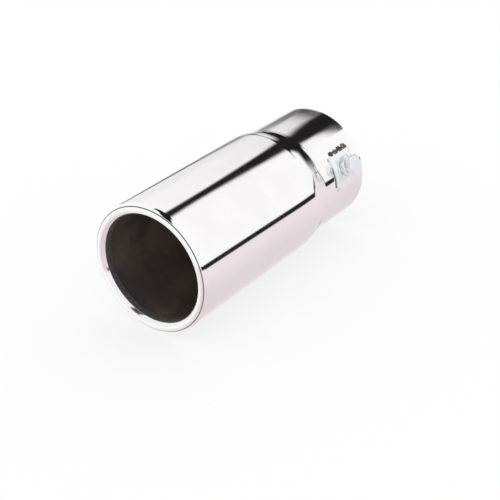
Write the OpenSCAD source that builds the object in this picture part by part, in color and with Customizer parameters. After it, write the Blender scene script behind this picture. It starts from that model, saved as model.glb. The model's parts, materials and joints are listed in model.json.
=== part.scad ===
// Bolt-on exhaust tip: one spun steel tube with a rolled mouth, and a screw clamp let into its neck.
// The origin is the centre of the open inlet end. +Y leaves the inlet along the tube and +Z is up.

/* [Tube] */
// Overall length, from the mouth to the inlet end
overall_len = 150; // [90:1:300]
// Outside diameter of the barrel
barrel_d = 70; // [66:1:110]
// Inside diameter of the neck, the bore that goes over the tail pipe
inlet_bore_d = 63; // [45:1:66]
// Thickness of the steel sheet
sheet_t = 1; // [0.6:0.1:1.5]
// Length of the straight neck, from the inlet end to the shoulder
neck_len = 37; // [32:1:80]
// Length of the shoulder between the neck and the barrel, which is two equal arcs
shoulder_len = 15; // [6:1:30]

/* [Rolled mouth] */
// Diameter of the rolled edge, seen in section
roll_d = 6; // [3.5:0.5:12]
// Straight length of the edge where it is turned back inside the mouth
return_len = 2.5; // [1:0.5:20]

/* [Clamp window] */
// Angle of the clamp round the neck, measured from the top towards +X
clamp_angle = 67; // [0:1:359]
// Distance from the inlet end to the axis of the clamp screw
screw_set_back = 17.4; // [12:0.2:30]
// Width of the window that is punched in the neck, across the tube
window_w = 21.6; // [20:0.2:30]
// Part of the window that stays open above the bridge
window_open = 2.8; // [1:0.2:4.4]
// Clearance between the bridge and the lower end of the window
window_end_gap = 1.4; // [0.5:0.1:3]
// Gap between the bridge and the front edge of the window
window_front_gap = 1.4; // [0.3:0.1:2]

/* [Clamp bridge] */
// Length of the bridge along the tube
bridge_len = 18.8; // [15:0.2:24]
// Thickness of the bridge's steel
bridge_t = 1.5; // [1:0.1:2.5]
// Inside radius of the bends between the bridge's plate and its legs
bridge_bend_r = 0.5; // [0.2:0.1:1]
// Width of the weld tab that joins the bridge to the front edge of the window
weld_tab_w = 5; // [2:0.5:8]
// Distance from the upper end of the bridge to the weld tab
weld_tab_inset = 1; // [0:0.5:6]
// How far the weld tab's face lies below the outside of the neck
weld_tab_sink = 0.3; // [0.1:0.1:0.4]

/* [Pressure shoe] */
// Width of the shoe across the tube
shoe_w = 13; // [10:0.5:16]
// Thickness of the shoe's steel
shoe_t = 1.2; // [0.8:0.1:3]
// Clearance of the shoe and the bridge's legs outside the inlet bore
bore_clearance = 0.05; // [0.05:0.05:0.4]
// Gap between the shoe and the underside of the bridge
shoe_gap = 0.2; // [0.1:0.1:1]
// Gap between the shoe's ends and the bridge's legs
shoe_end_gap = 0.4; // [0.1:0.1:1]
// Depth of the recess in the shoe that locates the tip of the screw
recess_depth = 0.3; // [0.1:0.1:0.6]
// Clearance round the tip of the screw in that recess
recess_clearance = 0.2; // [0.1:0.1:0.5]

/* [Clamp screw and nut] */
// Diameter of the screw's thread
screw_d = 6; // [4:0.5:8]
// Width of the screw head and of the nut across their flats
hex_af = 10; // [9:0.5:12]
// Height of the screw head, with its washer face
head_h = 4; // [2.5:0.1:6]
// Height of the washer face under the screw head
washer_face_h = 0.4; // [0.2:0.1:0.8]
// Height of the nut
nut_h = 3.2; // [2.5:0.1:8]
// Gap between the nut and the screw head
head_gap = 0.3; // [0:0.1:10]
// How far the screw head is turned about its own axis
head_turn = 31; // [0:1:59]
// How far the nut is turned about its own axis
nut_turn = 0; // [0:1:59]
// Clearance of the screw in the nut's bore
thread_clearance = 0.05; // [0.02:0.01:0.1]
// Clearance of the screw in the bridge's hole
hole_clearance = 0.3; // [0.1:0.1:0.6]
// Chamfer on the tip of the screw
tip_chamfer = 0.6; // [0.2:0.1:1]

/* [Hidden] */

round_fn = 96;
screw_fn = 48;
roll_steps = 12;
shoulder_steps = 10;
bend_steps = 5;
hex_chamfer_angle = 30;
hex_face_share = 0.95;
washer_face_share = 0.9;
fuse = 0.5;
past = 3;

// Radii of the tube
barrel_r = barrel_d / 2;
bore_r = inlet_bore_d / 2;
neck_r = bore_r + sheet_t;
roll_r = roll_d / 2;
mouth_r = barrel_r - roll_d;
shoulder_end = overall_len - neck_len;
shoulder_start = shoulder_end - shoulder_len;
shoulder_drop = barrel_r - neck_r;
shoulder_r = (shoulder_len * shoulder_len + shoulder_drop * shoulder_drop) / (4 * shoulder_drop);
shoulder_tilt = asin(shoulder_len / 2 / shoulder_r);

// Radii of the clamp's pieces, stacked outwards from the bore
shoe_ir = bore_r + bore_clearance;
shoe_or = shoe_ir + shoe_t;
bridge_ir = shoe_or + shoe_gap;
bridge_or = bridge_ir + bridge_t;
bend_or = bridge_bend_r + bridge_t;

// Angles at which the bridge, its weld tab and the shoe end, measured from the screw's axis
bridge_top = -asin((window_w / 2 - window_open) / neck_r);
bridge_foot = asin((window_w / 2 - window_end_gap) / neck_r);
tab_start = -asin((window_w / 2 - window_open - weld_tab_inset) / neck_r);
tab_end = -asin((window_w / 2 - window_open - weld_tab_inset - weld_tab_w) / neck_r);
shoe_half = asin(shoe_w / 2 / neck_r);

// The nut stands on a flat that is faced across the crown of the bridge
hex_corner_r = hex_af / 2 / cos(30);
seat_r = hex_corner_r + fuse;
seat_z = sqrt(bridge_or * bridge_or - seat_r * seat_r);
tip_z = shoe_or - recess_depth;
head_z = seat_z + nut_h + head_gap;

steel = [0.88, 0.87, 0.88];
zinc = [0.78, 0.82, 0.86];

function arc(cx, cy, r, a0, a1, steps) =
    [for (i = [0:steps]) let (a = a0 + (a1 - a0) * i / steps) [cx + r * cos(a), cy + r * sin(a)]];

// The shoulder's first arc leaves the barrel and its second one meets the neck, both moved in by `inset`
function shoulder(inset) = concat(
    arc(barrel_r - shoulder_r, shoulder_start, shoulder_r - inset, 0, shoulder_tilt, shoulder_steps),
    arc(neck_r + shoulder_r, shoulder_end, shoulder_r + inset, 180 + shoulder_tilt, 180, shoulder_steps)
);

function reversed(list) = [for (i = [len(list) - 1:-1:0]) list[i]];

// Half section of the tube: x is the radius and y the distance from the mouth
function tube_section() = concat(
    reversed(arc(barrel_r - roll_r, roll_r, roll_r, -180, 0, roll_steps)),
    [[mouth_r, roll_r + return_len], [mouth_r + sheet_t, roll_r + return_len]],
    arc(barrel_r - roll_r, roll_r, roll_r - sheet_t, -180, 0, roll_steps),
    shoulder(sheet_t),
    [[bore_r, overall_len], [neck_r, overall_len]],
    reversed(shoulder(0))
);

// Section of the bridge along the tube: x is the radius and y runs from the front leg to the rear leg
function bridge_section() = let (b = bridge_len / 2, t = bridge_t, q = bridge_bend_r) concat(
    [[shoe_ir, -b]],
    arc(bridge_or - bend_or, -b + bend_or, bend_or, -90, 0, bend_steps),
    arc(bridge_or - bend_or, b - bend_or, bend_or, 0, 90, bend_steps),
    [[shoe_ir, b], [shoe_ir, b - t]],
    arc(bridge_ir - q, b - t - q, q, 90, 0, bend_steps),
    arc(bridge_ir - q, -b + t + q, q, 0, -90, bend_steps),
    [[shoe_ir, -b + t]]
);

// Turns a half section about the tube's axis, all the way round
module spun() {
    rotate([-90, 0, 0]) rotate_extrude($fn = round_fn) children();
}

// Turns a half section about the tube's axis, between two angles measured from +Z towards +X
module spun_between(a0, a1) {
    rotate([-90, 0, 0]) rotate([0, 0, a0 - 90]) rotate_extrude(angle = a1 - a0, $fn = round_fn) children();
}

// Places what is modelled upright on the tube's axis at the clamp
module at_clamp() {
    rotate([0, clamp_angle, 0]) translate([0, -screw_set_back, 0]) children();
}

module rounded_rectangle(w, l, r) {
    square([w - 2 * r, l], center = true);
    square([w, l - 2 * r], center = true);
    for (x = [-1, 1], y = [-1, 1]) translate([x * (w / 2 - r), y * (l / 2 - r)]) circle(r, $fn = screw_fn);
}

// Hexagon bar of height h, with its corners chamfered at the top and, where asked, at the bottom
module hex_bar(h, bottom = true) {
    face_r = hex_face_share * hex_af / 2;
    out_r = hex_corner_r + fuse;
    fall = (out_r - face_r) * tan(hex_chamfer_angle);
    intersection() {
        cylinder(h = h, r = hex_corner_r, $fn = 6);
        rotate_extrude($fn = screw_fn) polygon(concat(
            bottom ? [[0, 0], [face_r, 0], [out_r, fall]] : [[0, 0], [out_r, 0]],
            [[out_r, h - fall], [face_r, h], [0, h]]
        ));
    }
}

module clamp_window() {
    translate([0, -window_front_gap / 2, bore_r / 2])
        linear_extrude(height = bore_r / 2 + sheet_t + past)
            rounded_rectangle(window_w, bridge_len + window_front_gap, window_end_gap);
}

module tip_shell() {
    color(steel) difference() {
        spun() translate([0, -overall_len]) polygon(tube_section());
        at_clamp() clamp_window();
    }
}

module clamp_bridge() {
    front = bridge_len / 2 + window_front_gap;
    color(zinc) at_clamp() difference() {
        union() {
            spun_between(bridge_top, bridge_foot) polygon(bridge_section());
            spun_between(tab_start, tab_end) translate([shoe_ir, -front])
                square([sheet_t - bore_clearance - weld_tab_sink, window_front_gap + fuse]);
        }
        cylinder(h = bridge_or + past, r = screw_d / 2 + hole_clearance, $fn = screw_fn);
        translate([0, 0, seat_z]) cylinder(h = past, r = seat_r + fuse, $fn = screw_fn);
    }
}

module clamp_nut() {
    color(zinc) at_clamp() translate([0, 0, seat_z]) difference() {
        rotate([0, 0, nut_turn]) hex_bar(nut_h);
        translate([0, 0, -past])
            cylinder(h = nut_h + 2 * past, r = screw_d / 2 + thread_clearance, $fn = screw_fn);
    }
}

module clamp_screw() {
    r = screw_d / 2;
    washer_r = washer_face_share * hex_af / 2;
    color(zinc) at_clamp() {
        rotate_extrude($fn = screw_fn) polygon([
            [0, tip_z], [r - tip_chamfer, tip_z], [r, tip_z + tip_chamfer], [r, head_z],
            [washer_r, head_z], [washer_r, head_z + washer_face_h + fuse], [0, head_z + washer_face_h + fuse]
        ]);
        translate([0, 0, head_z + washer_face_h]) rotate([0, 0, head_turn])
            hex_bar(head_h - washer_face_h, bottom = false);
    }
}

module pressure_shoe() {
    shoe_len = bridge_len - 2 * (bridge_t + shoe_end_gap);
    color(zinc) at_clamp() difference() {
        spun_between(-shoe_half, shoe_half) translate([shoe_ir, -shoe_len / 2]) square([shoe_t, shoe_len]);
        translate([0, 0, tip_z]) cylinder(h = past, r = screw_d / 2 + recess_clearance, $fn = screw_fn);
    }
}

tip_shell();
clamp_bridge();
clamp_nut();
clamp_screw();
pressure_shoe();
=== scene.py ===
# %% [markdown]
# # A bolt-on exhaust tip in Blender
# The real object is one tube of polished steel sheet with a rolled mouth, and a small zinc-plated clamp
# in its neck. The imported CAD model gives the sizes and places. This script gives the parts their finish,
# and a studio whose reflections make bare metal look like metal.

# %% Load the frame
import json
import math

import bmesh
import bpy
import numpy as np
from mathutils import Matrix, Vector


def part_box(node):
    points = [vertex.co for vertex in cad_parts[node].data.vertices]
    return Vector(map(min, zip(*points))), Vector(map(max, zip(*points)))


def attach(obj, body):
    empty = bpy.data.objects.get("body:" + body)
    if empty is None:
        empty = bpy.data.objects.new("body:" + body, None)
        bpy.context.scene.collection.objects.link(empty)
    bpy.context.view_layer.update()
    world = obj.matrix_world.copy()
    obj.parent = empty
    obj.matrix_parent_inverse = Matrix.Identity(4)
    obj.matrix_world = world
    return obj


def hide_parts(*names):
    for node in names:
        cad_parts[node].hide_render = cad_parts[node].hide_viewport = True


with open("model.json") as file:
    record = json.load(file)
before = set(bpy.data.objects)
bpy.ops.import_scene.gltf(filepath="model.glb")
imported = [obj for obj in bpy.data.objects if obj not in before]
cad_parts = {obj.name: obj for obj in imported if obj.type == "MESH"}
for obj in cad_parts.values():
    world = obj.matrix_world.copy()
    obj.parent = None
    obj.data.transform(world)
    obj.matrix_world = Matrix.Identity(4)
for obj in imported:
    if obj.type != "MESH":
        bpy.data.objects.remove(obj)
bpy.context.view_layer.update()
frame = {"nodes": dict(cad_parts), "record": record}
MM = 0.001
print("nodes:", sorted(frame["nodes"]))

# %% [markdown]
# ## The sizes of the tube
# The length and the neck's sizes come from the frame, so that they can't drift from the CAD model. The
# barrel's radius, the sheet's thickness and the rolled mouth's section are the maker's own sizes. They
# could be measured on the frame's mesh too, but a mesh has facets and no radii, so they are named here.

# %% Read and name the tube's sizes
tube_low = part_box("tip_shell")[0]
inlet = frame["record"]["mounts"][0]["dims"]
BARREL_R = 35.0 * MM
LENGTH = -tube_low.y
INLET_R = inlet["r_mm"] * MM
NECK_LEN = inlet["length_mm"] * MM
SHEET = 1.0 * MM
NECK_R = INLET_R + SHEET
SHOULDER_LEN = 15.0 * MM
ROLL_R = 3.0 * MM
ROLL_MIDDLE_R = BARREL_R - ROLL_R
RETURN_LEN = 2.5 * MM
MOUTH_R = BARREL_R - 2 * ROLL_R
print(f"barrel {BARREL_R / MM:.1f} mm, neck {NECK_R / MM:.1f} mm, mouth {MOUTH_R / MM:.2f} mm in radius")

# %% [markdown]
# ## The clamp's place
# The clamp sits in a window of the neck. Its screw points out from the tube's axis, 67 degrees round from
# the top towards +X, as measured in the photograph. The screw's own node gives its distance from the
# inlet. The middle of its box confirms the angle to about a degree, as a box isn't turned with the screw.

# %% Name the clamp's place and sizes
screw_low, screw_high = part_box("clamp_screw")
bridge_low, bridge_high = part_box("clamp_bridge")
screw_middle = (screw_low + screw_high) / 2
CLAMP_ANGLE = math.radians(67)
SCREW_BACK = -screw_middle.y
BRIDGE_LEN = 18.8 * MM
BRIDGE_R = 34.45 * MM
WINDOW_W = 21.6 * MM
WINDOW_CORNER_R = 1.4 * MM
WINDOW_FRONT_GAP = 1.4 * MM
screw_lean = math.degrees(math.atan2(screw_middle.x, screw_middle.z))
node_len = bridge_high.y - bridge_low.y
print(f"screw {SCREW_BACK / MM:.1f} mm from the inlet, its middle leans {screw_lean:.1f} degrees")
print(f"bridge {BRIDGE_LEN / MM:.1f} mm long, its whole node {node_len / MM:.1f} mm")

# %% [markdown]
# ## The camera
# The photograph looks down on the mouth from the right. A camera could be moved by hand until the view
# looks right. This one, a plain long lens, was fitted: its place and turn were changed until the tube's
# outline fell where it does in the photograph.

# %% Set the camera
CAMERA_PLACE = Vector((0.3395, -0.5432, 0.3067))
CAMERA_YAW = 0.6160
CAMERA_PITCH = 0.5186
FOCAL_PIXELS = 1226.3
PICTURE_WIDTH = 500
SENSOR_MM = 36.0
NEAREST_SEEN = 0.01

camera_data = bpy.data.cameras.new("camera")
camera_data.sensor_width = SENSOR_MM
camera_data.lens = FOCAL_PIXELS * SENSOR_MM / PICTURE_WIDTH
camera_data.clip_start = NEAREST_SEEN
camera = bpy.data.objects.new("camera", camera_data)
camera.location = CAMERA_PLACE
camera.rotation_euler = (math.pi / 2 - CAMERA_PITCH, 0, CAMERA_YAW)
bpy.context.scene.collection.objects.link(camera)
bpy.context.scene.camera = camera
bpy.context.scene.view_settings.view_transform = "Standard"
print("lens", round(camera_data.lens, 1), "mm")

# %% [markdown]
# ## Helpers for node trees
# Materials, the world and Geometry Nodes are all trees of nodes. They could be drawn by hand in Blender's
# node editor, but in a script every value can be read and changed. `add` makes a node and wires it:
# keyword arguments set the node's own settings, and the dictionary feeds its inputs with values or links.


# %% A helper that makes and wires a node
def add(tree, kind, inputs=None, **settings):
    made = tree.nodes.new(kind)
    for name, value in settings.items():
        setattr(made, name, value)
    for name, value in (inputs or {}).items():
        socket = made.inputs[name]
        if isinstance(value, bpy.types.NodeSocket):
            tree.links.new(value, socket)
        else:
            socket.default_value = value
    return made


# %% [markdown]
# Small helpers stand on `add`. `maths` is one sum, `dot` says how far one direction points along another,
# `ramp_between` is a soft step from one value to another, and `faded` takes a mask down by such steps.


# %% Helpers for sums, soft steps and blends
def maths(tree, operation, *values):
    return add(tree, "ShaderNodeMath", dict(enumerate(values)), operation=operation).outputs[0]


def dot(tree, vector, direction):
    made = add(tree, "ShaderNodeVectorMath", {0: vector, 1: direction}, operation="DOT_PRODUCT")
    return made.outputs["Value"]


def ramp_between(tree, value, start, end, low=0.0, high=1.0):
    inputs = {"Value": value, "From Min": start, "From Max": end, "To Min": low, "To Max": high}
    return add(tree, "ShaderNodeMapRange", inputs, interpolation_type="SMOOTHSTEP").outputs["Result"]


def faded(tree, mask, *steps):
    """The mask times one soft step for each (value, start, end), with a low and high where given."""
    for step in steps:
        mask = maths(tree, "MULTIPLY", mask, ramp_between(tree, *step))
    return mask


def blend_colours(tree, share, first, second):
    return add(tree, "ShaderNodeMix", {0: share, 6: first, 7: second}, data_type="RGBA").outputs[2]


# %% [markdown]
# ## The studio that the metal reflects
# Polished metal has hardly any colour of its own: it shows the room. A product photographer puts such a
# tube in a white tent with a few dark gaps, and each gap becomes a crisp dark line on the metal. The tent
# could be built from cards and lamps. Here it is the world itself, so that every side of the object has
# its light. For the camera it is plain white. For reflections it has dark shapes, each drawn on the
# direction in which a reflection leaves the metal: dx to the right, dy to the back and dz up. On this
# tube dy tells how far along the tube one looks, and dx and dz tell how far round it.


# %% A helper that draws a smooth curve by its points
def curve_near(tree, value, points):
    """A height for each value, on a smooth curve that keeps near the points (value, height)."""
    places, heights = zip(*points)
    low, high = min(heights), max(heights)
    first, last = places[0], places[-1]
    unit = add(tree, "ShaderNodeMapRange", {"Value": value, "From Min": first, "From Max": last})
    band = add(tree, "ShaderNodeValToRGB", {"Fac": unit.outputs["Result"]})
    band.color_ramp.interpolation = "B_SPLINE"
    stops = band.color_ramp.elements
    while len(stops) < len(points):
        stops.new(0.5)
    for stop, (place_at, height) in zip(stops, points):
        stop.position = (place_at - first) / (last - first)
        share = (height - low) / (high - low)
        stop.color = (share, share, share, 1)
    return maths(tree, "MULTIPLY_ADD", band.outputs["Color"], high - low, low)


# %% Start the tent
world = bpy.data.worlds.new("tent")
bpy.context.scene.world = world
world.use_nodes = True
tent = world.node_tree
tent.nodes.clear()
direction = add(tent, "ShaderNodeTexCoord").outputs["Generated"]
dx, dy, dz = add(tent, "ShaderNodeSeparateXYZ", {0: direction}).outputs
print("the tent starts with", len(tent.nodes), "nodes")

# %% [markdown]
# ## The gap overhead
# The dark gap runs from the front, over the object, and opens out behind it. Its left and right edges are
# given by how far they lie to the side (dx) at each height (dz). The front half and the back half have
# curves of their own, which meet overhead. Straight edges would be simpler, but the tube's lines bend in
# the photograph, so the points were moved until the lines on the tube fell in place.

# %% The edges of the gap overhead
BACK_LEFT = (
    (-0.3, -0.57), (-0.1, -0.54), (0.0, -0.51), (0.1, -0.475), (0.2, -0.425), (0.3, -0.37), (0.4, -0.32),
    (0.5, -0.29), (0.58, -0.26), (0.65, -0.215), (0.7, -0.22), (0.74, -0.24), (0.8, -0.30), (1.0, -0.29),
)
BACK_RIGHT = (
    (-0.3, -0.43), (-0.1, -0.38), (0.05, -0.25), (0.13, -0.10), (0.2, 0.0), (0.27, 0.07), (0.33, 0.11),
    (0.4, 0.11), (0.46, 0.06), (0.55, 0.035), (0.62, 0.065), (0.66, 0.018), (0.69, -0.045),
    (0.715, -0.085), (0.74, -0.05), (0.78, -0.03), (0.88, 0.041), (0.96, 0.08), (1.0, 0.12),
)
FRONT_LEFT = ((0.0, -0.45), (0.3, -0.36), (0.5, -0.30), (0.7, -0.20), (0.86, -0.22), (1.0, -0.29))
FRONT_RIGHT = ((0.0, -0.39), (0.3, -0.30), (0.5, -0.015), (0.7, 0.074), (0.86, 0.125), (1.0, 0.12))
GAP_EDGES = (BACK_LEFT, BACK_RIGHT, FRONT_LEFT, FRONT_RIGHT)
back_left, back_right, front_left, front_right = (curve_near(tent, dz, points) for points in GAP_EDGES)
print("points on the gap's edges:", [len(points) for points in GAP_EDGES])

# %% [markdown]
# At some places along the tube the gap reaches further out: on the left at the mouth, at the neck's end
# and on the shoulder's bends, and on the right in one tall slit, which those bends show as a sharp dark
# point. Each flare is a curve of dy, and a soft step in dz keeps it to its own height.

# %% Where the gap reaches further out
LEFT_FLARE = (
    (0.60, 0.13), (0.64, 0.13), (0.67, 0.0), (0.755, 0.0), (0.765, 0.04), (0.775, 0.08), (0.80, 0.05),
    (0.82, 0.0),
)
LEFT_FLARE_FROM = (0.10, 0.26)
RIGHT_FLARE = ((0.772, 0.0), (0.778, 0.04), (0.783, 0.20), (0.788, 0.36), (0.793, 0.20), (0.80, 0.0))
RIGHT_FLARE_FROM = (0.49, 0.60)
left_flare = faded(tent, curve_near(tent, dy, LEFT_FLARE), (dz, *LEFT_FLARE_FROM))
right_flare = faded(tent, curve_near(tent, dy, RIGHT_FLARE), (dz, *RIGHT_FLARE_FROM))
left_edge_back = maths(tent, "SUBTRACT", back_left, left_flare)
right_edge_back = maths(tent, "ADD", back_right, right_flare)
print("tent nodes with the flares:", len(tent.nodes))

# %% [markdown]
# The two halves are mixed where dy passes zero. Then each edge gets a soft step: a wide one gives the
# washed edge of a far soft box, and a narrow one a crisp line. Low down the gap ends in a soft foot.

# %% Put the gap overhead together
HALVES_MEET = (-0.08, 0.08)
LEFT_SOFT_OUT = (0.745, 0.768, -0.03, -0.12)
LEFT_SOFT_IN = 0.035
RIGHT_SOFT_OUT = -0.04
RIGHT_SOFT_IN = (0.35, 0.58, 0.16, 0.06)
FRONT_FOOT = (0.35, 0.55)
BACK_FOOT = (-0.12, 0.05)
at_back = ramp_between(tent, dy, *HALVES_MEET)


def by_half(front, back):
    return add(tent, "ShaderNodeMix", {0: at_back, 2: front, 3: back}, data_type="FLOAT").outputs[0]


from_left = maths(tent, "SUBTRACT", dx, by_half(front_left, left_edge_back))
from_right = maths(tent, "SUBTRACT", by_half(front_right, right_edge_back), dx)
past_left = ramp_between(tent, from_left, ramp_between(tent, dy, *LEFT_SOFT_OUT), LEFT_SOFT_IN)
past_right = ramp_between(tent, from_right, RIGHT_SOFT_OUT, ramp_between(tent, dz, *RIGHT_SOFT_IN))
above_foot = by_half(ramp_between(tent, dz, *FRONT_FOOT), ramp_between(tent, dz, *BACK_FOOT))
overhead = maths(tent, "MULTIPLY", maths(tent, "MULTIPLY", past_left, past_right), above_foot)
print("tent nodes after the gap overhead:", len(tent.nodes))

# %% [markdown]
# ## Shade at the end of the neck, and the dark cross on the shoulder
# In the photograph a dark band closes the upper left of the neck at the inlet, and a dark cross lies on
# the shoulder. The band is a narrow shade on the tent's wall, which only the last of the neck reflects.
# The cross needs two dark patches behind the object, which only the shoulder reflects. They could be
# painted on the steel, but then they would stay put when one walks round it.

# %% The shade at the neck's end
NECK_SHADE = (
    (0.757, 0.0), (0.760, 0.02), (0.764, 0.08), (0.7677, 0.26), (0.7712, 0.70), (0.7741, 1.0),
    (0.777, 1.0), (0.780, 0.5), (0.783, 0.0),
)
NECK_SHADE_LEAN = -0.0178
NECK_SHADE_LEAN_FROM = 0.245
NECK_SHADE_LEFT = (-0.67, -0.61)
NECK_SHADE_RIGHT = (0.0, -0.2)
NECK_SHADE_FOOT = (-0.02, 0.10)
lean = maths(tent, "MULTIPLY", maths(tent, "SUBTRACT", dz, NECK_SHADE_LEAN_FROM), NECK_SHADE_LEAN)
neck_shade = curve_near(tent, maths(tent, "ADD", dy, lean), NECK_SHADE)
neck_shade = faded(
    tent, neck_shade, (dx, *NECK_SHADE_LEFT), (dx, *NECK_SHADE_RIGHT), (dz, *NECK_SHADE_FOOT)
)
print("the neck's shade lies between dy", NECK_SHADE[0][0], "and", NECK_SHADE[-1][0])

# %% The two arms of the cross
LEFT_ARM_TOP = (
    (-0.62, -0.20), (-0.58, -0.05), (-0.55, 0.06), (-0.51, 0.18), (-0.43, 0.29), (-0.35, 0.40),
    (-0.27, 0.48), (-0.20, 0.60),
)
LEFT_ARM_SOFT = (-0.10, 0.10, 1.0, 0.0)
LEFT_ARM_ALONG = (0.77, 0.80)
LEFT_ARM_END = (-0.30, -0.20, 1.0, 0.0)
RIGHT_ARM_ROUND = (0.77, 0.0, -0.64)
RIGHT_ARM_SOFT = (-0.10, 0.27, 1.0, 0.0)
RIGHT_ARM_ALONG = (0.88, 0.965)
above_top = maths(tent, "SUBTRACT", dz, curve_near(tent, dx, LEFT_ARM_TOP))
left_arm = ramp_between(tent, above_top, *LEFT_ARM_SOFT)
left_arm = faded(tent, left_arm, (dy, *LEFT_ARM_ALONG), (dx, *LEFT_ARM_END))
right_arm = ramp_between(tent, dot(tent, direction, RIGHT_ARM_ROUND), *RIGHT_ARM_SOFT)
right_arm = faded(tent, right_arm, (dy, *RIGHT_ARM_ALONG))
print("tent nodes after the shoulder's arms:", len(tent.nodes))

# %% [markdown]
# ## The table's edge
# The lower dark line on the tube is the edge of the table that it lies on. In the tent that edge is a
# tilted circle round the object, which TABLE_DROP lowers, least on the steep part of the shoulder. The
# line is thin and pale on the left and wider on the right, ends behind the object and is pale in front.

# %% The table's edge
TABLE_TILT = (-0.3305, 0.0, 0.9438)
TABLE_DROP = (
    (0.60, 0.297), (0.67, 0.298), (0.70, 0.305), (0.74, 0.325), (0.7505, 0.327), (0.755, 0.31),
    (0.765, 0.315), (0.78, 0.305), (0.80, 0.23), (0.85, 0.15), (0.90, 0.05), (1.0, -0.03),
)
LINE_WIDTH = (-0.25, 0.15, 0.018, 0.046)
LINE_SOFT = (0.65, 1.3, 1.0, 0.0)
LINE_PALE_LEFT = (0.05, 0.40, 0.15, 1.0)
LINE_ENDS_BACK = (0.83, 0.95, 1.0, 0.0)
LINE_PALE_FRONT = (-0.35, 0.10, 0.2, 1.0)
LINE_FRONT_RIGHT = (0.74, 0.84)
above_table = maths(tent, "ADD", dot(tent, direction, TABLE_TILT), curve_near(tent, dy, TABLE_DROP))
line_width = ramp_between(tent, dx, *LINE_WIDTH)
line_share = maths(tent, "DIVIDE", maths(tent, "ABSOLUTE", above_table), line_width)
table_line = ramp_between(tent, line_share, *LINE_SOFT)
table_line = faded(tent, table_line, (dx, *LINE_PALE_LEFT), (dy, *LINE_ENDS_BACK))
kept_front = ramp_between(tent, dy, *LINE_PALE_FRONT)
kept_right = ramp_between(tent, dx, *LINE_FRONT_RIGHT)
table_line = maths(tent, "MULTIPLY", table_line, maths(tent, "MAXIMUM", kept_front, kept_right))
print("tent nodes with the table's edge:", len(tent.nodes))

# %% [markdown]
# ## The gap on the left
# A thin dark line follows the upper left outline of the tube. Outlines could be drawn as lines, but on
# metal they are reflections too: here of a thin gap in the tent, a slice that is square to
# LEFT_GAP_FACES. It is darkest at the mouth and at the neck's end, and fades out higher up.

# %% The gap on the left
LEFT_GAP_FACES = (0.7366, 0.6184, -0.2736)
LEFT_GAP_SOFT = (0.02, 0.07, 1.0, 0.0)
LEFT_GAP_SIDE = (-0.64, -0.56, 1.0, 0.0)
LEFT_GAP_TOP = (0.14, 0.28, 1.0, 0.0)
LEFT_GAP_DARKNESS = (
    (0.64, 0.0), (0.66, 0.95), (0.69, 0.9), (0.735, 0.55), (0.755, 0.6), (0.77, 0.85), (0.80, 0.8),
)
off_slice = maths(tent, "ABSOLUTE", dot(tent, direction, LEFT_GAP_FACES))
left_gap = ramp_between(tent, off_slice, *LEFT_GAP_SOFT)
left_gap = faded(tent, left_gap, (dx, *LEFT_GAP_SIDE), (dz, *LEFT_GAP_TOP))
left_gap = maths(tent, "MULTIPLY", left_gap, curve_near(tent, dy, LEFT_GAP_DARKNESS))
print("tent nodes with the gap on the left:", len(tent.nodes))

# %% [markdown]
# ## The tent's walls and table, with the dark shapes over them
# The tent is white on the right and faintly mauve low on the left, and its table is a little darker and
# warmer. The dark shapes lie over that, and where two meet, the darker one counts. All this is for
# reflections alone: the camera and the light on dull surfaces get plain white.

# %% The tent's walls and table
TENT_WHITE = (1.0, 1.0, 1.0, 1)
TENT_LEFT = (0.80, 0.785, 0.805, 1)
TABLE_NEAR = (0.86, 0.79, 0.81, 1)
TABLE_LOW = (0.76, 0.70, 0.72, 1)
TABLE_LEFT = (1.0, 0.975, 0.97, 1)
WALL_ALONG = (0.50, 0.80)
WALL_WHITE_ABOVE = (0.05, 0.40)
WALL_WHITE_ALONG = (0.69, 0.77, 0.75, 0.15)
WALL_ROUND = (-0.45, 0.25)
TABLE_DEPTH = (-0.65, -0.2)
TABLE_ROUND = (-0.85, 0.0)
TABLE_BORDER = (-0.02, 0.02)
left_wall = blend_colours(tent, ramp_between(tent, dy, *WALL_ALONG), TENT_WHITE, TENT_LEFT)
whiter = faded(tent, ramp_between(tent, dz, *WALL_WHITE_ABOVE), (dy, *WALL_WHITE_ALONG))
left_wall = blend_colours(tent, whiter, left_wall, TENT_WHITE)
walls = blend_colours(tent, ramp_between(tent, dx, *WALL_ROUND), left_wall, TENT_WHITE)
table = blend_colours(tent, ramp_between(tent, dz, *TABLE_DEPTH), TABLE_LOW, TABLE_NEAR)
table = blend_colours(tent, ramp_between(tent, dx, *TABLE_ROUND), TABLE_LEFT, table)
tent_colour = blend_colours(tent, ramp_between(tent, above_table, *TABLE_BORDER), table, walls)
print("tent nodes with walls and table:", len(tent.nodes))

# %% Put the dark shapes over the tent
GAP_DARK = (0.014, 0.012, 0.013, 1)
darkness = overhead
for gap in (neck_shade, left_arm, right_arm, table_line, left_gap):
    darkness = maths(tent, "MAXIMUM", darkness, gap)
tent_colour = blend_colours(tent, darkness, tent_colour, GAP_DARK)
in_reflection = add(tent, "ShaderNodeLightPath").outputs["Is Glossy Ray"]
world_colour = blend_colours(tent, in_reflection, TENT_WHITE, tent_colour)
background = add(tent, "ShaderNodeBackground", {"Color": world_colour, "Strength": 1.0})
add(tent, "ShaderNodeOutputWorld", {"Surface": background.outputs[0]})
print("tent nodes:", len(tent.nodes))

# %% [markdown]
# ## The floor
# A wide white floor just touches the barrel and keeps the object's soft shadow. The photograph's backdrop
# is so bright that hardly any shadow is left. Stronger light would do the same, but it would bleach the
# metal too. So the camera sees the floor with about two thirds of pure white mixed in. Reflections pass
# the floor by, so that the metal shows the tent's table in its place.

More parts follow.
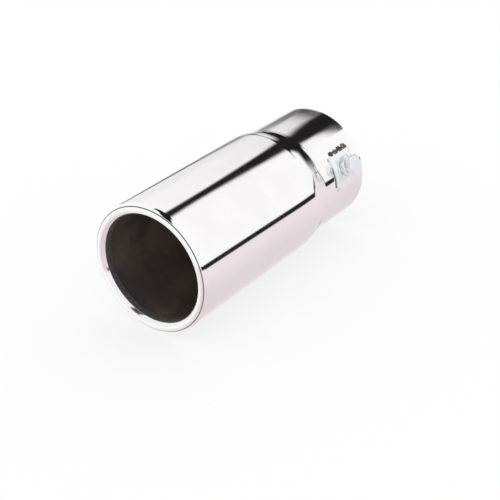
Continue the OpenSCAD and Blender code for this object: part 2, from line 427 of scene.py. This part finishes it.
# %% Mix the floor's paint
FLOOR_WHITE_SHARE = 0.68
PURE_WHITE = (1, 1, 1, 1)
floor_paint = bpy.data.materials.new("floor paint")
floor_paint.use_nodes = True
floor_tree = floor_paint.node_tree
floor_shader = floor_tree.nodes["Principled BSDF"]
floor_shader.inputs["Base Color"].default_value = PURE_WHITE
floor_shader.inputs["Roughness"].default_value = 1.0
floor_shader.inputs["Specular IOR Level"].default_value = 0.0
bright = add(floor_tree, "ShaderNodeEmission", {"Color": PURE_WHITE, "Strength": 1.0})
seen = add(floor_tree, "ShaderNodeLightPath").outputs["Is Camera Ray"]
white_share = maths(floor_tree, "MULTIPLY", seen, FLOOR_WHITE_SHARE)
floor_mix = add(
    floor_tree, "ShaderNodeMixShader",
    {0: white_share, 1: floor_shader.outputs[0], 2: bright.outputs[0]},
)
floor_tree.links.new(floor_mix.outputs[0], floor_tree.nodes["Material Output"].inputs["Surface"])
print("floor paint:", len(floor_tree.nodes), "nodes")

# %% Make the floor
FLOOR_SIZE = 12.0
half = FLOOR_SIZE / 2
floor_z = tube_low.z
corners = [(-half, -half, floor_z), (half, -half, floor_z), (half, half, floor_z), (-half, half, floor_z)]
floor_mesh = bpy.data.meshes.new("floor")
floor_mesh.from_pydata(corners, [], [(0, 1, 2, 3)])
floor_mesh.materials.append(floor_paint)
floor = bpy.data.objects.new("floor", floor_mesh)
bpy.context.scene.collection.objects.link(floor)
floor.visible_glossy = False
print("floor at", round(floor_z / MM, 1), "mm")

# %% [markdown]
# ## Marks that every metal has
# Even a mirror finish isn't the same all over: polishing leaves faint streaks, and hands leave faint
# clouds. Pictures of scratches could give that, but noise has no seams and fits any size. All the metals
# here use one node group for it. It gives out a roughness, a height and a cloud mask, and each material
# gives it its own scale, stretch and limits.

# %% The shared group for streaks and clouds
CLOUD_EDGE = (0.42, 0.68)
STREAK_SHARE = 0.5
marks = bpy.data.node_groups.new("surface marks", "ShaderNodeTree")
for socket_name, kind, default in (
    ("Streak Scale", "NodeSocketFloat", 900.0),
    ("Streak Stretch", "NodeSocketVector", (1.0, 1.0, 1.0)),
    ("Cloud Scale", "NodeSocketFloat", 40.0),
    ("Smoothest", "NodeSocketFloat", 0.04),
    ("Roughest", "NodeSocketFloat", 0.10),
):
    socket = marks.interface.new_socket(socket_name, in_out="INPUT", socket_type=kind)
    socket.default_value = default
for socket_name in ("Roughness", "Height", "Cloud"):
    marks.interface.new_socket(socket_name, in_out="OUTPUT", socket_type="NodeSocketFloat")
given = add(marks, "NodeGroupInput").outputs
place = add(marks, "ShaderNodeTexCoord").outputs["Object"]
stretched = add(marks, "ShaderNodeVectorMath", {0: place, 1: given["Streak Stretch"]}, operation="MULTIPLY")
streaks = add(
    marks, "ShaderNodeTexNoise",
    {"Vector": stretched.outputs[0], "Scale": given["Streak Scale"], "Detail": 3.0, "Roughness": 0.6},
).outputs["Fac"]
clouds = add(
    marks, "ShaderNodeTexNoise",
    {"Vector": place, "Scale": given["Cloud Scale"], "Detail": 4.0, "Roughness": 0.55, "Distortion": 0.4},
).outputs["Fac"]
cloud = ramp_between(marks, clouds, *CLOUD_EDGE)
streak_part = maths(marks, "MULTIPLY", streaks, STREAK_SHARE)
mixed = maths(marks, "ADD", streak_part, maths(marks, "MULTIPLY", cloud, 1 - STREAK_SHARE))
span = maths(marks, "SUBTRACT", given["Roughest"], given["Smoothest"])
roughness = maths(marks, "ADD", given["Smoothest"], maths(marks, "MULTIPLY", mixed, span))
add(marks, "NodeGroupOutput", {"Roughness": roughness, "Height": streaks, "Cloud": cloud})
print("marks group:", len(marks.nodes), "nodes")


# %% A helper that starts a metal with the shared marks
def metal(name, streak_scale, stretch, cloud_scale, smoothest, roughest, bump_depth):
    made = bpy.data.materials.new(name)
    made.use_nodes = True
    tree = made.node_tree
    shader = tree.nodes["Principled BSDF"]
    group = add(
        tree, "ShaderNodeGroup",
        {
            "Streak Scale": streak_scale, "Streak Stretch": stretch, "Cloud Scale": cloud_scale,
            "Smoothest": smoothest, "Roughest": roughest,
        },
        node_tree=marks,
    )
    tree.links.new(group.outputs["Roughness"], shader.inputs["Roughness"])
    height = group.outputs["Height"]
    bump = add(tree, "ShaderNodeBump", {"Height": height, "Strength": 1.0, "Distance": bump_depth})
    tree.links.new(bump.outputs[0], shader.inputs["Normal"])
    return made, tree, shader, group


# %% [markdown]
# ## Polished steel, with its dull inside
# The outside of the tube is buffed to a mirror: a metal with a high, faintly pink base colour. The
# streaks run round the tube, as they do when a tube is spun against a buffing wheel, so their noise is
# squeezed along the tube's length. Nobody polishes the inside. There the bare sheet is brown-black from
# the rolling mill and from heat, and rough, so it swallows the light that comes in at the mouth. Two
# materials could do it, but the lip is only a little dull, and a mask can do a little. So one material
# has both finishes, and a mark on each face says how much of the dull one it wears.

# %% The steel
DULL_AND_CREASE_SHADE = "dull side and crease shade"
STEEL_COLOUR = (0.975, 0.955, 0.960, 1)
STEEL_CLOUDED = (0.945, 0.92, 0.925, 1)
INSIDE_DARK = (0.078, 0.058, 0.052, 1)
INSIDE_LIGHT = (0.165, 0.117, 0.094, 1)
INSIDE_ROUGH = 0.68
steel, steel_tree, steel_shader, steel_marks = metal(
    "polished steel", streak_scale=260.0, stretch=(0.6, 5.0, 0.6), cloud_scale=28.0,
    smoothest=0.035, roughest=0.085, bump_depth=0.0000004,
)
steel_cloud = steel_marks.outputs["Cloud"]
# This mask is the dull finish of the inside, and in the fine crease it is painted shade.
dull_and_shade_mark = add(steel_tree, "ShaderNodeAttribute", attribute_name=DULL_AND_CREASE_SHADE).outputs["Fac"]
bright_side = blend_colours(steel_tree, steel_cloud, STEEL_COLOUR, STEEL_CLOUDED)
dark_side = blend_colours(steel_tree, steel_cloud, INSIDE_DARK, INSIDE_LIGHT)
steel_colour = blend_colours(steel_tree, dull_and_shade_mark, bright_side, dark_side)
rougher = maths(steel_tree, "MULTIPLY", dull_and_shade_mark, INSIDE_ROUGH)
both_rough = maths(steel_tree, "ADD", steel_marks.outputs["Roughness"], rougher)
steel_tree.links.new(steel_colour, steel_shader.inputs["Base Color"])
steel_tree.links.new(maths(steel_tree, "SUBTRACT", 1.0, dull_and_shade_mark), steel_shader.inputs["Metallic"])
steel_tree.links.new(both_rough, steel_shader.inputs["Roughness"])
print("steel nodes:", len(steel_tree.nodes))

# %% [markdown]
# ## Zinc plating
# The clamp is bright zinc over pressed steel: a bluish white metal, a good deal rougher than the tube,
# with a fine even grain. The grain could be modelled, but it is far finer than a pixel, so a rougher
# surface with a low bump looks the same. Plating is also a little milky, so it isn't wholly metallic.

# %% The zinc plating
ZINC_COLOUR = (0.94, 0.965, 0.975, 1)
ZINC_CLOUDED = (0.91, 0.94, 0.955, 1)
ZINC_METALLIC = 0.75
zinc, zinc_tree, zinc_shader, zinc_marks = metal(
    "zinc plate", streak_scale=1800.0, stretch=(1.0, 1.0, 1.0), cloud_scale=300.0,
    smoothest=0.30, roughest=0.42, bump_depth=0.000003,
)
zinc_colour = blend_colours(zinc_tree, zinc_marks.outputs["Cloud"], ZINC_COLOUR, ZINC_CLOUDED)
zinc_tree.links.new(zinc_colour, zinc_shader.inputs["Base Color"])
zinc_shader.inputs["Metallic"].default_value = ZINC_METALLIC
print("materials:", steel.name, zinc.name)

# %% [markdown]
# ## The section of the tube
# The tube is one sheet, so one closed section describes all of it: the roll and the returned edge at
# the mouth, the barrel, the shoulder and the neck. Each point is a radius and a distance from the mouth.
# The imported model's shoulder has two equal arcs. In the photograph the reflections bend slowly next to
# the barrel and fast next to the neck, so here the first arc is gentler and the second one tighter. They
# have the same ends and the same slope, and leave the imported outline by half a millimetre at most.


# %% Helpers for the section
def arc(cx, cy, r, start, end, steps):
    angles = [math.radians(start + (end - start) * i / steps) for i in range(steps + 1)]
    return [(cx + r * math.cos(a), cy + r * math.sin(a)) for a in angles]


def straight(start, end, steps):
    (ax, ay), (bx, by) = start, end
    return [(ax + (bx - ax) * i / steps, ay + (by - ay) * i / steps) for i in range(1, steps)]


# %% Work out the shoulder
SHOULDER_END = LENGTH - NECK_LEN
SHOULDER_START = SHOULDER_END - SHOULDER_LEN
SHOULDER_TILT = 2 * math.atan2(BARREL_R - NECK_R, SHOULDER_LEN)
BOTH_BENDS = SHOULDER_LEN / math.sin(SHOULDER_TILT)
GENTLE_SHARE = 0.73
GENTLE_R = GENTLE_SHARE * BOTH_BENDS
TIGHT_R = BOTH_BENDS - GENTLE_R
GENTLE_STEPS = 28
TIGHT_STEPS = 14


def shoulder(inset):
    tilt = math.degrees(SHOULDER_TILT)
    gentle = arc(BARREL_R - GENTLE_R, SHOULDER_START, GENTLE_R - inset, 0, tilt, GENTLE_STEPS)
    tight = arc(NECK_R + TIGHT_R, SHOULDER_END, TIGHT_R + inset, 180 + tilt, 180, TIGHT_STEPS)
    return gentle + tight[1:]


print(f"shoulder's bends {GENTLE_R / MM:.1f} and {TIGHT_R / MM:.1f} mm in radius")

# %% [markdown]
# ## The rolled mouth with its crease
# The mouth's edge is rolled inwards to a round lip. In the photograph a thin dark line runs round that
# lip, where the roll has a fine crease. A dark stripe alone could draw it, but a real dip also bends the
# light beside it, so the section has a shallow one, with finer steps around it. Its faces also get painted
# shade.

# %% Work out the rolled mouth
CREASE_ANGLE = -54
CREASE_HALF = 6.3
CREASE_DEPTH = 0.16 * MM
CREASE_MARGIN = 0.1
FINE_STEP = 0.9
ROLL_STEP = 4.5


def rolled_outside():
    """From the barrel round the lip to the returned edge, with a fine crease at CREASE_ANGLE."""
    points = []
    angle = 0.0
    while angle > -180:
        off = (angle - CREASE_ANGLE) / CREASE_HALF
        dip = CREASE_DEPTH * math.cos(math.pi / 2 * off) ** 2 if abs(off) < 1 else 0
        points += arc(ROLL_MIDDLE_R, ROLL_R, ROLL_R - dip, angle, angle, 1)[:1]
        near = abs(angle - CREASE_ANGLE) < CREASE_HALF + CREASE_MARGIN
        angle -= FINE_STEP if near else ROLL_STEP
    return points + [(MOUTH_R, ROLL_R)]


# %% Join the whole section
STRAIGHT_STEPS = 24
ROLL_INSIDE_STEPS = 24


def tube_section():
    return_end = ROLL_R + RETURN_LEN
    roll_inside = arc(ROLL_MIDDLE_R, ROLL_R, ROLL_R - SHEET, -180, 0, ROLL_INSIDE_STEPS)
    neck_outside = straight((NECK_R, SHOULDER_END), (NECK_R, LENGTH), STRAIGHT_STEPS)
    neck_inside = straight((INLET_R, LENGTH), (INLET_R, SHOULDER_END), STRAIGHT_STEPS)
    return (
        list(reversed(shoulder(0)))
        + rolled_outside()
        + [(MOUTH_R, return_end), (MOUTH_R + SHEET, return_end)]
        + roll_inside
        + shoulder(SHEET)
        + list(reversed(neck_inside))
        + [(INLET_R, LENGTH), (NECK_R, LENGTH)]
        + list(reversed(neck_outside))
    )


section = tube_section()
print(len(section), "points in the section")

# %% [markdown]
# ## Spinning the tube
# On a bench the tube is spun over a former, and every cross-section is a circle. A Screw modifier could
# spin the section too. Geometry Nodes do it with named sizes: the section is a closed curve, and Curve to
# Mesh carries it round a circle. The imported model's own facets would show in a mirror finish, so this
# piece takes its place with finer, smooth ones.


# %% A helper that starts a Geometry Nodes tree with named inputs
def start_tree(name, sockets):
    tree = bpy.data.node_groups.new(name, "GeometryNodeTree")
    for socket_name, kind in {"Geometry": "Geometry", **sockets}.items():
        tree.interface.new_socket(socket_name, in_out="INPUT", socket_type="NodeSocket" + kind)
    tree.interface.new_socket("Geometry", in_out="OUTPUT", socket_type="NodeSocketGeometry")
    return tree, add(tree, "NodeGroupInput").outputs


# %% Build the tree that spins a section
def spin_tree():
    tree, given = start_tree(
        "spin a section", {"Circle Radius": "Float", "Segments": "Int", "Finish": "Material"}
    )
    outline = add(tree, "GeometryNodeMeshToCurve", {"Mesh": given["Geometry"]})
    circle_path = add(
        tree, "GeometryNodeCurvePrimitiveCircle",
        {"Resolution": given["Segments"], "Radius": given["Circle Radius"]},
    )
    spun = add(
        tree, "GeometryNodeCurveToMesh",
        {"Curve": circle_path.outputs["Curve"], "Profile Curve": outline.outputs["Curve"]},
    )
    smooth = add(tree, "GeometryNodeSetShadeSmooth", {"Geometry": spun.outputs["Mesh"]})
    real = add(tree, "GeometryNodeRealizeInstances", {"Geometry": smooth.outputs["Geometry"]})
    finished = add(
        tree, "GeometryNodeSetMaterial",
        {"Geometry": real.outputs["Geometry"], "Material": given["Finish"]},
    )
    add(tree, "NodeGroupOutput", {"Geometry": finished.outputs["Geometry"]})
    return tree


# %% [markdown]
# A modifier's inputs go by identifiers such as Socket_2, so `set_inputs` looks each one up by its name.
# `made_real` turns what the modifiers show into a plain mesh, because only a plain mesh can be handed on.


# %% Helpers that set a tree's inputs and make its result a plain mesh
def set_inputs(modifier, values):
    for item in modifier.node_group.interface.items_tree:
        if item.in_out == "INPUT" and item.name in values:
            modifier[item.identifier] = values[item.name]


def made_real(obj, name):
    graph = bpy.context.evaluated_depsgraph_get()
    mesh = bpy.data.meshes.new_from_object(obj.evaluated_get(graph))
    made = bpy.data.objects.new(name, mesh)
    bpy.context.scene.collection.objects.link(made)
    bpy.data.objects.remove(obj)
    return made


# %% Spin the section into the tube
SEGMENTS = 360
section_points = [(r - BARREL_R, y, 0) for r, y in section]
count = len(section_points)
section_mesh = bpy.data.meshes.new("section")
section_mesh.from_pydata(section_points, [(i, (i + 1) % count) for i in range(count)], [])
section_object = bpy.data.objects.new("section", section_mesh)
bpy.context.scene.collection.objects.link(section_object)
spinner = section_object.modifiers.new("spin", "NODES")
spinner.node_group = spin_tree()
set_inputs(spinner, {"Circle Radius": BARREL_R, "Segments": SEGMENTS, "Finish": steel})
tube = made_real(section_object, "spun_tube")
spun_points = np.array([v.co for v in tube.data.vertices])
print("spun:", spun_points.min(0) / MM, spun_points.max(0) / MM)

# %% [markdown]
# ## Laying the tube down and cutting its window
# The spun tube stands on the Z axis, so it is turned to lie along Y with its mouth at the front. The
# clamp's window could be left out of the mesh face by face. It is punched through the neck instead, as
# the maker's press does it, with a cutter the size of the window. Its corners have the punch's radius.

# %% Lay the tube down
tube.data.transform(Matrix.Translation((0, -LENGTH, 0)) @ Matrix.Rotation(math.pi / 2, 4, "X"))
at_clamp = Matrix.Rotation(CLAMP_ANGLE, 4, "Y") @ Matrix.Translation((0, -SCREW_BACK, 0))
clamp_on_neck = at_clamp @ Vector((0, 0, NECK_R))
print("the clamp's middle on the neck, in mm:", [round(v / MM, 1) for v in clamp_on_neck])

# %% Make the punch
PUNCH_LOW = INLET_R / 2
PUNCH_HIGH = NECK_R + 3 * MM
CORNER_STEPS = 10


def window_punch():
    width, length = WINDOW_W, BRIDGE_LEN + WINDOW_FRONT_GAP
    outline = []
    for side_x, side_y, first in ((1, 1, 0), (-1, 1, 90), (-1, -1, 180), (1, -1, 270)):
        cx = side_x * (width / 2 - WINDOW_CORNER_R)
        cy = side_y * (length / 2 - WINDOW_CORNER_R) - WINDOW_FRONT_GAP / 2
        outline += arc(cx, cy, WINDOW_CORNER_R, first, first + 90, CORNER_STEPS)
    n = len(outline)
    points = [(x, y, PUNCH_LOW) for x, y in outline] + [(x, y, PUNCH_HIGH) for x, y in outline]
    faces = [tuple(reversed(range(n))), tuple(range(n, 2 * n))]
    faces += [(i, (i + 1) % n, n + (i + 1) % n, n + i) for i in range(n)]
    mesh = bpy.data.meshes.new("punch")
    mesh.from_pydata(points, [], faces)
    mesh.transform(at_clamp)
    punch = bpy.data.objects.new("punch", mesh)
    bpy.context.scene.collection.objects.link(punch)
    return punch


# %% Cut the window
punch = window_punch()
cut = tube.modifiers.new("window", "BOOLEAN")
cut.object = punch
cut.operation = "DIFFERENCE"
cut.solver = "EXACT"
tube = made_real(tube, "polished_tube")
bpy.data.objects.remove(punch)
print("tube after the cut:", len(tube.data.polygons), "faces")

# %% [markdown]
# ## Broken edges
# Nothing real has a perfectly sharp edge. A shader can fake a soft edge, but a tiny real bevel catches a
# line of light along every edge, from every side. Weighted normals keep the large faces smooth next to
# it. The same finishing suits every piece here.

# %% A helper that breaks the edges of a piece
BEVEL_SEGMENTS = 2
NORMAL_WEIGHT = 60


def break_edges(obj, name, width, angle, merge, dissolve=0.0):
    """Merged points and flat faces, then a bevel along edges that are sharper than the angle."""
    mesh = bmesh.new()
    mesh.from_mesh(obj.data)
    bmesh.ops.remove_doubles(mesh, verts=mesh.verts, dist=merge)
    if dissolve:
        limit = math.radians(dissolve)
        bmesh.ops.dissolve_limit(mesh, angle_limit=limit, verts=mesh.verts, edges=mesh.edges)
    mesh.to_mesh(obj.data)
    mesh.free()
    obj.data.polygons.foreach_set("use_smooth", [True] * len(obj.data.polygons))
    bevel = obj.modifiers.new("broken edges", "BEVEL")
    bevel.width = width
    bevel.segments = BEVEL_SEGMENTS
    bevel.limit_method = "ANGLE"
    bevel.angle_limit = math.radians(angle)
    bevel.miter_outer = "MITER_ARC"
    weigh = obj.modifiers.new("weighted normals", "WEIGHTED_NORMAL")
    weigh.weight = NORMAL_WEIGHT
    return made_real(obj, name)


# %% Break the tube's edges
tube = break_edges(tube, "polished_tube", width=0.1 * MM, angle=50, merge=0.01 * MM)
print("tube:", len(tube.data.polygons), "faces")

# %% [markdown]
# ## Where the sheet is dull, and where shade is painted in the crease
# The polish ends where a buffing wheel can't reach: inside the tube and inside the roll. The bottom of the
# fine crease gets painted shade, nearly as dark as that, and the lip that turns in is a touch satin. Each
# face could be given a material by hand. Here its place on the section says how dull or shaded it is, and
# the steel's material reads that number as a mask between its two finishes.

# %% Say how dull a face is, and where shade is painted in the crease
# How much painted shade the crease gets, as a share of the inside's dark colour.
CREASE_PAINTED_SHADE = 0.95
LIP_DULL = 0.08
LIP_FROM = -110
FACING_LIMIT = 0.6
RETURN_SLACK = 0.2 * MM


def dullness_and_shade(face):
    x, y, z = face.center
    r, s = math.hypot(x, z), y + LENGTH
    off_roll = r - ROLL_MIDDLE_R
    facing = (face.normal.x * x + face.normal.z * z) / r
    if s < ROLL_R:
        is_dull = math.hypot(off_roll, s - ROLL_R) < ROLL_R - SHEET / 2
    elif s < ROLL_R + RETURN_LEN + RETURN_SLACK and off_roll < 0:
        is_dull = r > MOUTH_R + SHEET / 2 and facing > FACING_LIMIT
    else:
        is_dull = facing < -FACING_LIMIT
    if is_dull:
        return 1
    if s < ROLL_R + RETURN_LEN:
        across = math.degrees(math.atan2(s - ROLL_R, off_roll))
        # The crease's faces get painted shade, nearly as dark as the inside.
        if s < ROLL_R and abs(across - CREASE_ANGLE) < CREASE_HALF:
            return CREASE_PAINTED_SHADE
        if off_roll < 0 and (s > ROLL_R or across < LIP_FROM):
            return LIP_DULL
    return 0


# %% Mark the dull faces
dull_and_shade_share = np.zeros(len(tube.data.loops), dtype=np.float32)
for face in tube.data.polygons:
    dull_and_shade_share[face.loop_start:face.loop_start + face.loop_total] = dullness_and_shade(face)
tube.data.attributes.new(DULL_AND_CREASE_SHADE, "FLOAT", "CORNER").data.foreach_set("value", dull_and_shade_share)
print("dull and shaded corners:", int(dull_and_shade_share.sum()), "of", len(dull_and_shade_share))

# %% [markdown]
# ## Round surfaces that shade as round
# Merging flat faces leaves faces of all sizes on a round surface, and their averaged normals would
# ripple. Many more faces would help a little. But on a round surface the true normal is known: it points
# straight away from the tube's axis. So every corner of a face on such a surface gets that normal.

# %% A helper that sets the true normals of a round surface
ROUND_LIMIT = math.cos(math.radians(8))
ROUND_SLACK = 0.03 * MM


def shade_round(obj, radius):
    mesh = obj.data
    normals = [Vector(corner.vector) for corner in mesh.corner_normals]
    changed = 0
    for face in mesh.polygons:
        away = Vector((face.center.x, 0, face.center.z)).normalized()
        if face.normal.dot(away) < ROUND_LIMIT:
            continue
        for corner in face.loop_indices:
            point = mesh.vertices[mesh.loops[corner].vertex_index].co
            if abs(math.hypot(point.x, point.z) - radius) < ROUND_SLACK:
                normals[corner] = Vector((point.x, 0, point.z)).normalized()
                changed += 1
    mesh.normals_split_custom_set(normals)
    print(obj.name, changed, "corners shaded round")


# %% [markdown]
# ## The clamp's pieces
# The bridge, its nut, the screw and the shoe under it are pressed or turned parts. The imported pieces
# have the right form and place, so they could be shown as they are, but with hard edges. Each gets a
# copy with merged, cleaned faces, broken edges and smooth shading, and the copy takes its place.

# %% Finish the clamp's pieces
for node in ("clamp_bridge", "clamp_nut", "clamp_screw", "pressure_shoe"):
    source = frame["nodes"][node]
    rough = bpy.data.objects.new(node + "_rough", source.data.copy())
    bpy.context.scene.collection.objects.link(rough)
    rough.data.materials.clear()
    rough.data.materials.append(zinc)
    piece = break_edges(
        rough, "plated_" + node, width=0.12 * MM, angle=25, merge=0.002 * MM, dissolve=1.0
    )
    if node == "clamp_bridge":
        shade_round(piece, BRIDGE_R)
    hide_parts(node)
    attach(piece, "root")
    print(node, len(source.data.polygons), "->", len(piece.data.polygons), "faces")

# %% [markdown]
# ## The weld beads
# Four short beads hold the bridge's upper edge to the edge of its window. They are steel that melted and
# froze in the open air, so they are dark, brownish and lumpy. They could be sculpted one by one. A row of
# spheres that are stretched across the gap, each a bit different, and pushed about by a noise, gives the
# same, and Geometry Nodes repeat the bead.

# %% Build the tree that lays a row of beads
BALL_SUBDIVISIONS = 4
BEAD_SMALLEST = (0.8, 0.85, 0.8)
BEAD_LARGEST = (1.2, 1.15, 1.25)
LUMP_SCALE = 1100.0
LUMP_DETAIL = 3.0


def bead_tree():
    tree, given = start_tree("row of beads", {
        "Count": "Int", "Pitch": "Vector", "Bead Size": "Vector", "Unevenness": "Float", "Seed": "Int",
        "Finish": "Material",
    })
    row = add(
        tree, "GeometryNodeMeshLine", {"Count": given["Count"], "Offset": given["Pitch"]}, mode="OFFSET"
    )
    ball = add(tree, "GeometryNodeMeshIcoSphere", {"Radius": 1.0, "Subdivisions": BALL_SUBDIVISIONS})
    varied = add(
        tree, "FunctionNodeRandomValue",
        {0: BEAD_SMALLEST, 1: BEAD_LARGEST, "Seed": given["Seed"]}, data_type="FLOAT_VECTOR",
    )
    size = add(
        tree, "ShaderNodeVectorMath", {0: given["Bead Size"], 1: varied.outputs[0]}, operation="MULTIPLY"
    )
    beads = add(
        tree, "GeometryNodeInstanceOnPoints",
        {"Points": row.outputs["Mesh"], "Instance": ball.outputs["Mesh"], "Scale": size.outputs[0]},
    )
    real = add(tree, "GeometryNodeRealizeInstances", {"Geometry": beads.outputs["Instances"]})
    noise = add(tree, "ShaderNodeTexNoise", {"Scale": LUMP_SCALE, "Detail": LUMP_DETAIL})
    centred = add(
        tree, "ShaderNodeVectorMath", {0: noise.outputs["Color"], 1: (0.5, 0.5, 0.5)}, operation="SUBTRACT"
    )
    push = add(
        tree, "ShaderNodeVectorMath", {0: centred.outputs[0], "Scale": given["Unevenness"]},
        operation="SCALE",
    )
    lumpy = add(
        tree, "GeometryNodeSetPosition",
        {"Geometry": real.outputs["Geometry"], "Offset": push.outputs[0]},
    )
    smooth = add(tree, "GeometryNodeSetShadeSmooth", {"Geometry": lumpy.outputs["Geometry"]})
    finished = add(
        tree, "GeometryNodeSetMaterial",
        {"Geometry": smooth.outputs["Geometry"], "Material": given["Finish"]},
    )
    add(tree, "NodeGroupOutput", {"Geometry": finished.outputs["Geometry"]})
    return tree


# %% [markdown]
# ## Heat-tinted steel
# Weld metal isn't polished: it has a thin burnt skin, brown to black, with paler spots. It uses the same
# marks as the other metals, rougher and with more of a cloud, instead of a picture of a weld.

# %% The burnt steel of the beads
BURNT_DARK = (0.10, 0.082, 0.078, 1)
BURNT_LIGHT = (0.42, 0.36, 0.35, 1)
BURNT_METALLIC = 0.7
burnt, burnt_tree, burnt_shader, burnt_marks = metal(
    "burnt steel", streak_scale=2200.0, stretch=(1.0, 1.0, 1.0), cloud_scale=420.0,
    smoothest=0.35, roughest=0.6, bump_depth=0.00002,
)
burnt_colour = blend_colours(burnt_tree, burnt_marks.outputs["Cloud"], BURNT_DARK, BURNT_LIGHT)
burnt_tree.links.new(burnt_colour, burnt_shader.inputs["Base Color"])
burnt_shader.inputs["Metallic"].default_value = BURNT_METALLIC
print("material:", burnt.name)

# %% [markdown]
# The row is made at the origin and then carried to the clamp: tilted to the slope of the gap, moved to
# the gap's middle, and turned with the clamp. A fixed seed keeps the beads the same each time.

# %% Lay the beads in the gap
BEAD_COUNT = 4
BEAD_PITCH = 4.3 * MM
BEAD_SIZE = (1.6 * MM, 2.0 * MM, 0.7 * MM)
BEAD_UNEVENNESS = 1.3 * MM
BEAD_SEED = 7
GAP_MIDDLE = Vector((-9.5, 0, 31.9)) * MM
GAP_TILT = math.radians(-41)
bead_object = bpy.data.objects.new("bead_row", bpy.data.meshes.new("bead row"))
bpy.context.scene.collection.objects.link(bead_object)
layer = bead_object.modifiers.new("beads", "NODES")
layer.node_group = bead_tree()
set_inputs(layer, {
    "Count": BEAD_COUNT, "Pitch": (0, BEAD_PITCH, 0), "Bead Size": BEAD_SIZE,
    "Unevenness": BEAD_UNEVENNESS, "Seed": BEAD_SEED, "Finish": burnt,
})
beads = made_real(bead_object, "weld_beads")
first_bead = Matrix.Translation(GAP_MIDDLE - Vector((0, BEAD_PITCH * (BEAD_COUNT - 1) / 2, 0)))
beads.data.transform(at_clamp @ first_bead @ Matrix.Rotation(GAP_TILT, 4, "Y"))
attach(beads, "root")
print("beads:", len(beads.data.polygons), "faces")

# %% [markdown]
# ## The tube takes its place
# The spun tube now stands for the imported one: same place, same size, finer faces.

# %% Put the tube in its place
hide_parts("tip_shell")
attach(tube, "root")
print("the tube has", len(tube.data.vertices), "points")
